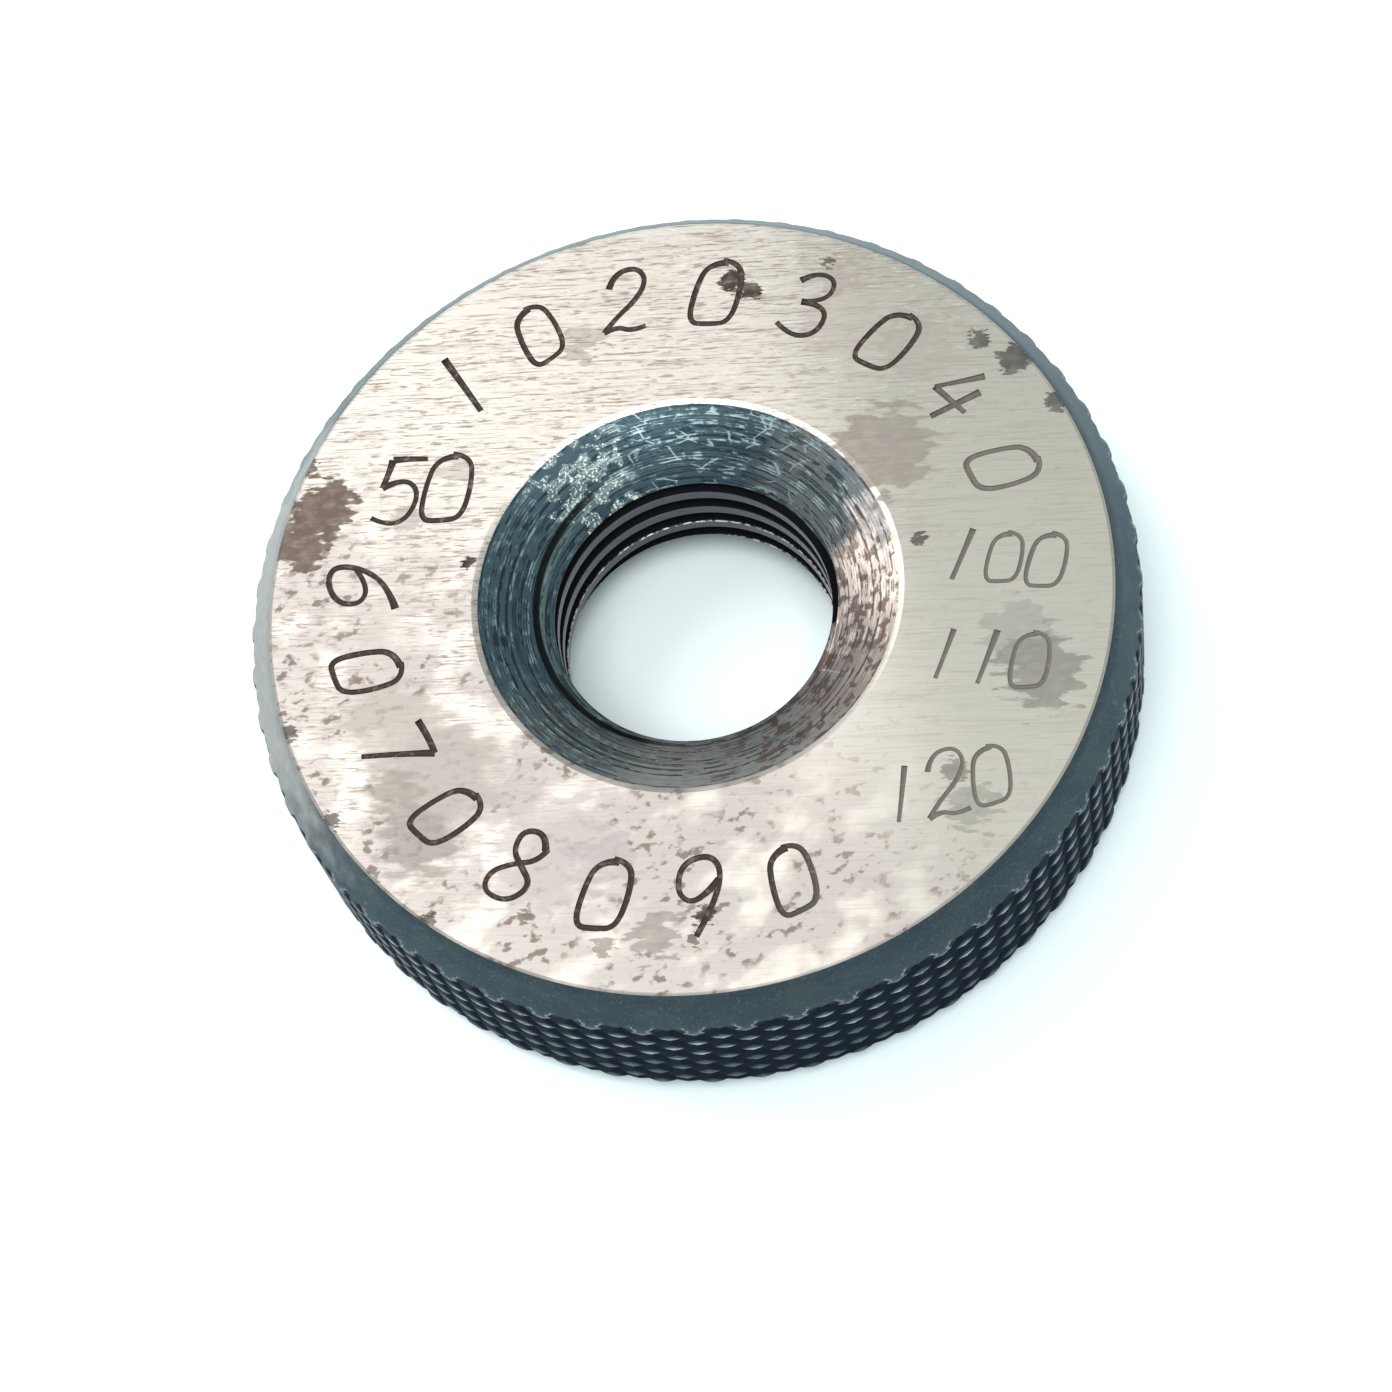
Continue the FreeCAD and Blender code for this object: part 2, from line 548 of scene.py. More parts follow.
FACE_STAINS = (
    Stain(-11.2, 1.6, 1.4, 0.6, "#b7aea7", 0.2),
    Stain(-11.9, -1.6, 1.9, 0.7, "#a79e97", 0.25),
    Stain(-10.6, -4.4, 2.2, 0.75, "#a39b94", 0.25),
    Stain(-12.3, -6.4, 1.4, 0.75, "#8f8780", 0.3),
    Stain(-8.3, -5.9, 1.3, 0.5, "#a59c98", 0.25),
    Stain(-12.6, -4.4, 1.0, 0.6, "#8b827b", 0.3),
    Stain(-7.4, -8.6, 2.2, 0.7, "#aea5a2", 0.08),
    Stain(-5.9, -9.6, 1.3, 0.5, "#9b9390", 0.12),
    Stain(-4.9, -12.9, 0.9, 0.75, "#8b837c"),
    Stain(-6.8, -12.7, 0.42, 0.7, "#7d756e"),
    Stain(-9.3, -10.6, 0.24, 0.8, "#6f665e"),
    Stain(9.4, 9.0, 1.9, 0.65, "#a39b93"),
    Stain(11.4, 6.9, 1.6, 0.65, "#99918a"),
    Stain(8.8, 3.2, 1.9, 0.8, "#89817a"),
    Stain(9.6, 11.3, 0.9, 0.6, "#968d85"),
    Stain(11.2, -5.7, 1.3, 0.75, "#918e87"),
    Stain(11.6, -7.6, 1.5, 0.85, "#7f7d77"),
    Stain(7.4, -11.8, 1.0, 0.75, "#8a8880"),
    Stain(7.3, -10.3, 0.5, 0.7, "#67635d"),
    Stain(-9.4, 6.6, 0.6, 0.6, "#948a83"),
    Stain(-6.9, 8.1, 0.75, 0.55, "#9b9189"),
    Stain(-0.9, 11.7, 0.7, 0.55, "#8b7f77"),
    Stain(-12.3, 8.2, 1.25, 0.98, BROWN_BLOT),
    Stain(-13.6, 6.9, 1.15, 0.95, BROWN_BLOT),
    Stain(-12.5, 10.2, 0.4, 0.85, "#5a4e48"),
    Stain(-15.9, -0.6, 0.42, 0.85, "#4e4641"),
    Stain(-15.2, -4.6, 0.35, 0.8, "#4e4641"),
    Stain(-12.6, -9.6, 0.3, 0.8, "#4e4641"),
    Stain(5.4, 12.3, 0.5, 0.95, BLACK_DIRT),
    Stain(6.0, 11.6, 0.42, 0.95, BLACK_DIRT),
    Stain(9.2, 11.8, 0.28, 0.85, "#4a403a"),
    Stain(14.7, 5.2, 0.66, 0.9, "#4c4b49"),
    Stain(13.7, 6.5, 0.4, 0.85, "#494642"),
    Stain(15.6, 2.9, 0.45, 0.85, "#4c4b49"),
    Stain(-7.6, 4.0, 0.25, 0.98, "#2b2420"),
    Stain(-3.0, -12.7, 0.4, 0.98, "#4d3e37"),
    Stain(-3.6, -13.5, 0.2, 0.8, "#5a4c44"),
    Stain(8.9, -0.9, 0.28, 0.9, "#57504a"),
)


@dataclass(frozen=True)
class GroundSteel(Finish):
    """Tool steel finished on a surface grinder.

    Its fine straight lines hold brown dirt as short dashes, most on one side of the face, and
    oil has dried as grey film elsewhere.
    """

    name: str = "ground_tool_steel"
    clean: str = "#d3cac0"
    warm_grey: str = "#aeaa9e"
    dash: str = "#857467"
    painted_glint: str = "#efe8df"
    film: str = "#a29a95"
    speck: str = "#71655d"
    lay_direction: float = -17.0
    dash_side: float = 125.0
    film_side: float = -140.0
    grey_side: float = -8.0
    least_patch: float = 0.7
    stains: tuple = ()

    def shaken(self, net: Net, size: tuple, reach: float) -> Socket:
        """Coordinates moved about across the face by noise.

        Args:
            net: The finish's nodes.
            size: Grain size of the noise along and across the grinding lines.
            reach: Widest move, in millimetres.

        Returns:
            The moved coordinates.
        """
        texture = net.noise(net.turned(size, self.lay_direction), 5.0)
        centred = net.vector("SUBTRACT", texture.outputs["Color"], (0.5, 0.5, 0.5))
        moved = net.vector("MULTIPLY_ADD", centred.outputs["Vector"], (reach, reach, 0.0), net.place)
        return moved.outputs["Vector"]

    def look(self, net: Net) -> dict:
        """Lays grinding lines, dashes, painted glints, film, specks and stains over the clean metal."""
        lines = net.grain((1.9, 0.085, 0.085), 3.0, self.lay_direction)
        dashes = net.grain((0.6, 0.1, 0.1), 3.0, self.lay_direction)
        broad = net.grain((5.5, 0.4, 0.4), 3.0, self.lay_direction)
        clouds = net.grain((2.6, 2.0, 2.0), 5.0, 15.0)
        mottle = net.grain((0.55, 0.4, 0.4), 4.0)
        side = net.ramp(net.along(self.dash_side), -10.0, 7.0)
        film_zone = net.ramp(net.along(self.film_side), -1.0, 8.0)
        dash_amount = net.product(net.ramp(dashes, 0.53, 0.62), net.ramp(broad, 0.36, 0.55), side, 0.7)
        speck_amount = net.product(
            net.ramp(mottle, 0.53, 0.63), net.ramp(clouds, 0.42, 0.56), net.scaled(film_zone, 0.65, 0.15)
        )
        colour = net.layered(
            self.clean,
            (self.warm_grey, net.ramp(net.along(self.grey_side), 3.0, 10.0)),
            (self.film, net.ramp(broad, 0.5, 0.72, 0.35)),
            (self.dash, net.product(net.ramp(lines, 0.52, 0.7), net.scaled(side, 0.5, 0.2))),
            (self.dash, dash_amount),
            # Painted highlight: light dashes on the dash side stand for glints off the grinding lines.
            (self.painted_glint, net.product(net.ramp(dashes, 0.42, 0.3, 0.45), side)),
            (self.film, net.product(net.ramp(clouds, 0.34, 0.52), film_zone, 0.75)),
            (self.speck, speck_amount),
        )
        dirt = net.calc("MAXIMUM", speck_amount, dash_amount)
        rough_place, fine_place = self.shaken(net, (1.0, 0.4, 0.4), 3.4), self.shaken(net, (0.4, 0.16, 0.16), 1.1)
        stained = colour
        for stain in self.stains:
            amount = stain.amount(net, fine_place if stain.radius < self.least_patch else rough_place)
            stained = net.layered(stained, (stain.colour, amount))
            dirt = net.calc("MAXIMUM", dirt, amount)
        colour = net.layered(colour, (stained, net.scaled(mottle, 0.8, 0.55)))
        normal = net.bump(net.scaled(dirt, -0.8, lines), 0.004)
        return {"Base Color": colour, "Metallic": 1.0, "Roughness": net.scaled(dirt, 0.25, 0.42), "Normal": normal}


@dataclass(frozen=True)
class BlackenedRim(Finish):
    """Tool steel with a black oxide, handled until the knurl's crests shine through.

    The oxide is a blue-grey satin, black in the grooves, where it is also darkened as painted shade, and thin on the
    crests and on the lips of the scallops. The lower halves of the upper crests carry painted highlights. The left
    side, where the light falls, is painted light grey, part rubbed oxide and part painted light.
    """

    name: str = "blackened_tool_steel"
    oxide: str = "#3a464e"
    tinge: str = "#414e50"
    # Colour of the knurl's grooves: part black oxide, part painted shade.
    groove: str = "#0b1620"
    land: str = "#233340"
    worn: str = "#8f9bab"
    lip: str = "#8c979d"
    lip_heights: tuple = (6.45, 6.65)
    land_top: tuple = (6.34, 6.22)
    crest_highlight_heights: tuple = (3.2, 4.4)
    rubbed_and_lit_side: Zone = Zone(166.0, 25.0, "#9d9996", 0.9, 14.0)
    rim: KnurledRim = KnurledRim(rim_radius=17.05, thickness=8.0)

    def crest_place(self, net: Net, spot: RoundPlace) -> tuple:
        """Where a point is on its crest of the knurl.

        Args:
            net: The finish's nodes.
            spot: The point.

        Returns:
            Nearness to the crest, from 0 in a groove to 1 on its middle, and height over its
            middle in rows of the lattice.
        """
        per_column = self.rim.columns / math.pi
        column = net.scaled(spot.turn, per_column / 2, -math.radians(self.rim.first_column_angle) * per_column / 2)
        row = net.scaled(spot.height, 0.5 / self.rim.row_height, -0.5 * self.rim.height_of(0) / self.rim.row_height)
        rising = net.calc("WRAP", net.calc("ADD", column, row), 0.5, -0.5)
        falling = net.calc("WRAP", net.calc("SUBTRACT", column, row), 0.5, -0.5)
        away = net.calc("MAXIMUM", net.calc("ABSOLUTE", rising), net.calc("ABSOLUTE", falling))
        nearness = net.scaled(away, -2.0, 1.0)
        return nearness, net.calc("SUBTRACT", rising, falling)

    def cut_depth(self, net: Net, spot: RoundPlace) -> Socket:
        """How deep the knurl has cut below the chamfered blank at a point, in millimetres.

        Args:
            net: The finish's nodes.
            spot: The point.

        Returns:
            The depth.
        """
        top = net.scaled(spot.height, -self.rim.slope, self.rim.face_radius + self.rim.thickness * self.rim.slope)
        bottom = net.scaled(spot.height, self.rim.slope, self.rim.bottom_radius)
        cone = net.calc("MINIMUM", top, bottom)
        return net.calc("SUBTRACT", net.calc("MINIMUM", cone, self.rim.rim_radius), spot.radius)

    def look(self, net: Net) -> dict:
        """Lays the rubbed and lit side, the grooves with their painted shade, the lips, and the worn crests with their
        painted highlights over the oxide.
        """
        spot = net.spot()
        (crest, above), cut = self.crest_place(net, spot), self.cut_depth(net, spot)
        clouds, grit = net.grain((1.6, 1.6, 0.9), 4.0), net.grain(0.11, 3.0)
        scuffs = net.grain((0.45, 0.45, 0.3), 4.0)
        lip = net.product(
            net.ramp(cut, 0.002, 0.012),
            net.ramp(cut, 0.05, 0.03),
            net.ramp(spot.height, *self.lip_heights),
            net.ramp(grit, 0.3, 0.5, 0.5),
        )
        land = net.product(net.ramp(crest, 0.6, 0.7), net.ramp(spot.height, *self.land_top))
        # Painted highlight, partly worn crest: the lower half of each crest's flat, in the upper rows only, is
        # lightened with the worn colour.
        crest_wear_and_highlight = net.product(
            land,
            net.ramp(above, 0.13, -0.05),
            net.ramp(spot.height, *self.crest_highlight_heights),
            net.ramp(scuffs, 0.36, 0.56),
        )
        colour = net.layered(
            self.oxide,
            (self.tinge, net.ramp(clouds, 0.42, 0.62, 0.8)),
            # Lighter grey on the left side, where the light falls: part rubbed oxide, part painted light.
            (self.rubbed_and_lit_side.colour, net.product(self.rubbed_and_lit_side.amount(net, spot, clouds), net.scaled(scuffs, 0.5, 0.7))),
            (self.worn, net.ramp(scuffs, 0.6, 0.78, 0.12)),
            (self.worn, net.ramp(grit, 0.55, 0.75, 0.16)),
            # Darker with the knurl's depth: the black oxide left in the grooves, and painted shade of the grooves.
            (self.groove, net.ramp(cut, 0.02, 0.055)),
            (self.lip, lip),
            (self.land, land),
            (self.worn, crest_wear_and_highlight),
        )
        roughness = net.scaled(grit, 0.25, 0.28)
        return {"Base Color": colour, "Metallic": 0.85, "Roughness": roughness, "Normal": net.bump(grit, 0.008)}


@dataclass(frozen=True)
class ThreadTurn:
    """Where the left-hand thread's groove is at each turn about the axis."""

    pitch: float = 1.25
    groove_height: float = 6.0
    groove_angle: float = 68.0

    def from_groove(self, net: Net, spot: RoundPlace) -> Socket:
        """Height of a point over the middle of the nearest groove, in pitches from -0.5 to 0.5.

        Args:
            net: The finish's nodes.
            spot: The point.

        Returns:
            The height.
        """
        rise = net.scaled(spot.height, 1 / self.pitch, net.calc("MULTIPLY", spot.turn, 1 / (2 * math.pi)))
        offset = 0.5 - self.groove_height / self.pitch - self.groove_angle / 360
        phase = net.calc("FLOORED_MODULO", net.calc("ADD", rise, offset), 1.0)
        return net.calc("SUBTRACT", phase, 0.5)


@dataclass(frozen=True)
class TurnedOxide(Finish):
    """Blackened countersink with the fine rings of the lathe tool.

    The oxide is green-black. It has crazed on the far side and has pitted bright beside that. Around the cone it is
    lighter and browner on the right, part wear and part painted light where the light falls, with near-white painted
    highlight streaks along its tool rings, and darker on the far side and the left as painted shade and reflection.
    The thread starts as a fine dark line of painted shadow, with a lighter painted flank below it.
    """

    name: str = "turned_blackened_steel"
    oxide: str = "#42555c"
    ring_light: str = "#8fa3a4"
    ring_dark: str = "#161d20"
    pit: str = "#d3dcd5"
    rust: str = "#5e4a43"
    ring_spacing: float = 0.085
    crack_direction: float = 66.0
    pitted: Zone = Zone(112.0, 4.5, "#8d9e9a", 0.75, 6.0)
    crazed: Zone = Zone(66.0, 30.0, "#93a7a6", 1.0, 14.0)
    groove_shadow: Zone = Zone(176.0, 62.0, "#0b0f10", 0.95, 10.0)
    lit_flank_band: Zone = Zone(160.0, 60.0, "#6a7c78", 0.55, 16.0)
    worn_and_lit_side: Zone = Zone(-16.0, 20.0, "#e8dcd2", 1.0, 12.0)
    # Painted light and shade around the cone, with some wear: lighter and browner on the right, where the light falls,
    # darker on the far side and the left.
    lit_shaded_and_worn_zones: tuple = (
        Zone(75.0, 36.0, "#2c3c42", 0.85),
        Zone(20.0, 22.0, "#5d6263", 0.9),
        Zone(-18.0, 18.0, "#c3b3a9", 1.0),
        Zone(-52.0, 20.0, "#93867f", 1.0),
        Zone(-100.0, 30.0, "#93908c", 0.95),
        Zone(-145.0, 14.0, "#5a6060", 0.8),
    )
    thread: ThreadTurn = ThreadTurn()
    spiral_share: float = -0.31
    line_heights: tuple = (4.0, 5.0)

    def look(self, net: Net) -> dict:
        """Lays the zones of painted light and shade with their wear, tool rings, cracks, pits, and the painted shadow
        of the thread's start over the oxide.
        """
        spot = net.spot()
        clouds, patches, grit = net.grain(1.2, 4.0), net.grain(0.5, 4.0), net.grain(0.1)
        across = net.calc("MULTIPLY", spot.radius, 1 / self.ring_spacing)
        drift = net.calc("MULTIPLY", clouds, 5.0)
        ring_place = add_node(net.tree, "ShaderNodeCombineXYZ", {"X": across, "Y": drift}).outputs["Vector"]
        rings = net.grain(1.0, place=ring_place)
        turn_share = self.thread.from_groove(net, spot)
        # Painted light: the band just below the thread's start line is lightened, where the groove's lower flank faces
        # the light.
        lit_flank = net.product(
            net.ramp(turn_share, self.spiral_share + 0.01, self.spiral_share - 0.01),
            net.ramp(spot.radius, 6.4, 6.2),
            self.lit_flank_band.amount(net, spot, clouds),
        )
        light_rings = net.product(net.ramp(rings, 0.54, 0.66), net.ramp(patches, 0.42, 0.56), 0.8)
        # Painted highlight, partly wear: near-white streaks along the tool rings on the right side, where the light
        # falls.
        worn = self.worn_and_lit_side.amount(net, spot, clouds)
        lit_ring_streaks = net.product(worn, net.ramp(rings, 0.5, 0.62), net.ramp(clouds, 0.42, 0.56), 0.75)
        rust_side = net.ramp(net.calc("COSINE", net.calc("ADD", spot.turn, 0.75)), 0.45, 0.85)
        plates = net.turned((0.55, 1.25, 0.55), self.crack_direction)
        bend = net.noise(net.place, 3.0, 2.5).outputs["Color"]
        bent = add_node(net.tree, "ShaderNodeMix", {0: 0.16, 4: plates, 5: bend}, data_type="VECTOR").outputs[1]
        cells = add_node(net.tree, "ShaderNodeTexVoronoi", {"Vector": bent, "Scale": 1.0}, feature="DISTANCE_TO_EDGE")
        at_edge = net.ramp(cells.outputs["Distance"], 0.035, 0.015)
        crazed = self.crazed.amount(net, spot, clouds)
        pitted = self.pitted.amount(net, spot, patches)
        pits = net.product(pitted, net.ramp(grit, 0.52, 0.6))
        # Painted shadow: a dark line along the thread's start on the cone, where the groove's steep upper flank lies
        # in shade.
        away = net.calc("ABSOLUTE", net.calc("SUBTRACT", turn_share, self.spiral_share))
        line = net.product(
            net.ramp(away, 0.085, 0.05),
            net.ramp(spot.radius, 6.4, 6.3),
            net.ramp(spot.height, *self.line_heights),
            self.groove_shadow.amount(net, spot, clouds),
        )
        colour = net.layered(
            self.oxide,
            *((zone.colour, zone.amount(net, spot, clouds)) for zone in self.lit_shaded_and_worn_zones),
            (self.lit_flank_band.colour, lit_flank),
            (self.ring_dark, net.ramp(rings, 0.48, 0.38, 0.75)),
            (self.ring_light, light_rings),
            (self.worn_and_lit_side.colour, lit_ring_streaks),
            (self.rust, net.product(net.ramp(patches, 0.5, 0.6), rust_side, 0.85)),
            (self.crazed.colour, net.product(at_edge, net.ramp(patches, 0.46, 0.56), crazed, 0.6)),
            (self.pitted.colour, net.product(pitted, 0.35)),
            (self.pit, pits),
            (self.groove_shadow.colour, line),
        )
        normal = net.bump(net.scaled(pits, 1.5, net.scaled(line, -2.0, rings)), 0.01, 0.7)
        return {"Base Color": colour, "Metallic": 0.9, "Roughness": net.scaled(grit, 0.3, 0.25), "Normal": normal}


@dataclass(frozen=True)
class ThreadOxide(Finish):
    """Blackened thread: dull and black in the grooves, darkened there as painted shade too, and rubbed to violet grey
    on its crests.

    The edges of the crests have been nicked by the work that it gauged, and show bare.
    """

    name: str = "blackened_thread"
    groove: str = "#08090b"
    crest: str = "#4d4c54"
    bare: str = "#d8d6d0"
    thread: ThreadTurn = ThreadTurn()
    crest_share: float = 0.31
    nick_heights: tuple = (3.9, 3.0)

    def look(self, net: Net) -> dict:
        """Finds each point's place in the turn of the thread, and colours crest, edge and groove."""
        spot = net.spot()
        from_groove = self.thread.from_groove(net, spot)
        grit = net.grain((0.2, 0.2, 0.1), 4.0)
        on_crest = net.ramp(net.calc("ABSOLUTE", from_groove), self.crest_share - 0.02, self.crest_share)
        edge = net.product(
            net.ramp(from_groove, -self.crest_share - 0.07, -self.crest_share),
            net.ramp(from_groove, -self.crest_share + 0.03, -self.crest_share),
        )
        nicks = net.product(edge, net.ramp(grit, 0.44, 0.6), net.ramp(spot.height, *self.nick_heights, 0.9))
        # Near black away from the crests: the oxide in the groove, and painted shade of the groove.
        colour = net.layered(self.groove, (self.crest, on_crest), (self.bare, nicks))
        roughness = net.scaled(on_crest, -0.25, 0.6)
        return {"Base Color": colour, "Metallic": 0.9, "Roughness": roughness, "Normal": net.bump(grit, 0.02)}


@dataclass(frozen=True)
class ScribedLine(Finish):
    """Line burnt and scratched into the steel by a hand tool, brown-black and rough inside.

    The tool ran lighter on one side of the face, and the line is greyer there.
    """

    name: str = "scribed_line"
    burnt: str = "#33271f"
    edge: str = "#6b5d54"
    light: str = "#77736a"
    light_side: float = -30.0

    def look(self, net: Net) -> dict:
        """Breaks the dark line up a little with a lighter brown."""
        browned = net.ramp(net.grain(0.25, 3.0), 0.5, 0.75)
        side = net.ramp(net.along(self.light_side), 5.0, 10.0, 0.65)
        colour = net.layered(self.burnt, (self.edge, browned), (self.light, side))
        return {"Base Color": colour, "Metallic": 0.3, "Roughness": 0.7}


@dataclass(frozen=True)
class MattPaper(Finish):
    """White matt paper on the studio table, very slightly blue, with the faintest unevenness."""

    name: str = "matt_paper"
    white: str = "#f2fcfc"
    shade: str = "#edf9fa"

    def look(self, net: Net) -> dict:
        """Mixes two near whites by broad noise."""
        colour = net.layered(self.white, (self.shade, net.grain(30.0)))
        return {"Base Color": colour, "Roughness": 0.9, "Specular IOR Level": 0.1}


class Skin(Enum):
    """The finishes of the gauge, in the order of its material slots."""

    GROUND = GroundSteel(stains=FACE_STAINS)
    RIM = BlackenedRim()
    COUNTERSINK = TurnedOxide()
    THREAD = ThreadOxide()
    SCRIBED = ScribedLine()

    @property
    def index(self) -> int:
        """Place of the finish among the material slots."""
        return list(Skin).index(self)


@dataclass
class ThreadedCore:
    """Inside of the ring: both flat faces, the countersinks and the left-hand thread."""

    rim: KnurledRim
    countersink_radius: float = 8.0
    countersink_depth: float = 1.9
    mouth_break_width: float = 0.22
    mouth_break_depth: float = 0.07
    crest_radius: float = 5.35
    pitch_radius: float = 5.475
    relief_radius: float = 6.1
    relief_width: float = 0.15
    flank_angle: float = 60.0
    thread: ThreadTurn = ThreadTurn()
    thread_end: float = 0.757
    run_out_start: float = 5.95
    run_out_end: float = 6.6
    run_out: float = 0.75
    steps_per_turn: int = 160

    def cone_radius(self, height: float) -> float:
        """Radius of the nearer countersink at a height, or of the thread's crest."""
        depth = min(height, self.rim.thickness - height)
        share = (self.countersink_depth - depth) / (self.countersink_depth - self.mouth_break_depth)
        return self.crest_radius + max(share, 0.0) * (self.countersink_radius - self.crest_radius)

    def solid(self) -> bpy.types.Object:
        """Spins the core as a closed ring, with a plain bore and a plain outer wall.

        Returns:
            The core as an object, in millimetres.
        """
        top, mouth = self.rim.thickness, self.countersink_radius
        outline = [
            (self.rim.top_seam, top),
            (mouth + self.mouth_break_width, top),
            (mouth, top - self.mouth_break_depth),
            (self.crest_radius, top - self.countersink_depth),
            (self.crest_radius, self.countersink_depth),
            (mouth, self.mouth_break_depth),
            (mouth + self.mouth_break_width, 0.0),
            (self.rim.bottom_seam, 0.0),
        ]
        core = spin_outline(outline, self.rim.first_column_angle, self.rim.steps, is_closed=True)
        bmesh.ops.recalc_face_normals(core, faces=core.faces)
        return add_object("core", core)

    def groove(self) -> bpy.types.Object:
        """Sweeps the thread's groove down the bore, turning to the left as it goes in.

        It gets shallower towards the marked face, and fades out where the countersink starts.

        Returns:
            The groove's volume as an object, in millimetres.
        """
        lean = math.tan(math.radians(self.flank_angle / 2))
        inner = self.crest_radius - self.thread.pitch / 8
        inner_half = self.thread.pitch / 4 + (self.pitch_radius - inner) * lean
        slot_start = self.pitch_radius + (self.thread.pitch / 4 - self.relief_width / 2) / lean
        outline = [
            (inner, -inner_half),
            (slot_start, -self.relief_width / 2),
            (self.relief_radius, -self.relief_width / 2),
            (self.relief_radius, self.relief_width / 2),
            (slot_start, self.relief_width / 2),
            (inner, inner_half),
        ]
        start_height = self.rim.thickness - self.thread_end
        start_angle = self.thread.groove_angle - (start_height - self.thread.groove_height) / self.thread.pitch * 360
        turns = (start_height - self.thread_end) / self.thread.pitch
        steps = round(turns * self.steps_per_turn)
        sweep = bmesh.new()
        place = Matrix.Translation((0.0, 0.0, start_height)) @ Matrix.Rotation(math.radians(start_angle), 4, "Z")
        verts = [sweep.verts.new(place @ Vector((radius, 0.0, height))) for radius, height in outline]
        spin(sweep, [sweep.faces.new(verts)], steps, turns, self.thread.pitch)
        for vert in sweep.verts:
            share = min(max((vert.co.z - self.run_out_start) / (self.run_out_end - self.run_out_start), 0.0), 1.0)
            vert.co.xy *= 1 - self.run_out * share / self.relief_radius
        bmesh.ops.holes_fill(sweep, edges=[edge for edge in sweep.edges if edge.is_boundary], sides=0)
        bmesh.ops.recalc_face_normals(sweep, faces=sweep.faces)
        return add_object("groove", sweep)


@dataclass(frozen=True)
class NumberRow:
    """One row of numbers scribed by hand on the marked face.

    An arc row has a start and end angle and follows a circle. A straight row has the same
    start and end angle for its middle, and runs in its heading.
    """

    text: str
    radius: float
    start_angle: float
    end_angle: float
    height: float
    heading: Optional[float] = None
    tops_outward: bool = True
    weight: float = 1.0
    spacing: float = 0.72

    def places(self) -> list:
        """Centre and direction of each digit.

        Returns:
            A tuple of digit, X, Y and heading in degrees, for each digit.
        """
        last = len(self.text) - 1
        found = []
        for order, digit in enumerate(self.text):
            angle = math.radians(self.start_angle + order / last * (self.end_angle - self.start_angle))
            x, y = self.radius * math.cos(angle), self.radius * math.sin(angle)
            heading = self.heading
            if heading is None:
                heading = math.degrees(angle) + (-90.0 if self.tops_outward else 90.0)
            else:
                along = (order - last / 2) * self.height * self.spacing
                x += along * math.cos(math.radians(heading))
                y += along * math.sin(math.radians(heading))
            found.append((digit, x, y, heading))
        return found


# Strokes of each digit, as points to the right of and above its lower left corner, in hundredths of its height
DIGIT_STROKES = {
    "0": ("34,97 6,95 0,50 4,0 32,0 60,5 62,55 52,98 26,100",),
    "1": ("34,100 31,50 27,0",),
    "2": ("4,76 10,102 46,108 62,82 46,50 18,26 0,2", "0,2 20,10 42,-2 64,4"),
    "3": ("4,88 22,108 56,100 56,62 20,54", "20,54 62,56 66,8 30,-8 0,12"),
    "4": ("28,100 14,66 0,36", "0,36 34,38 62,40", "46,78 42,40 38,0"),
    "5": ("14,98 12,76 7,54", "7,54 34,70 62,48 54,6 26,-6 0,8", "14,98 40,100 64,98"),
    "6": ("50,100 18,82 0,42 6,-2 36,-6 62,16 54,50 24,54 4,32",),
    "7": ("0,97 30,100 60,97", "60,97 42,55 24,0"),
    "8": ("50,84 36,108 4,100 10,66 34,50 64,30 50,-6 10,-6 0,24 24,50 50,66 52,88",),
    "9": ("56,72 30,42 2,58 6,100 42,108 60,84 50,38 28,0",),
}


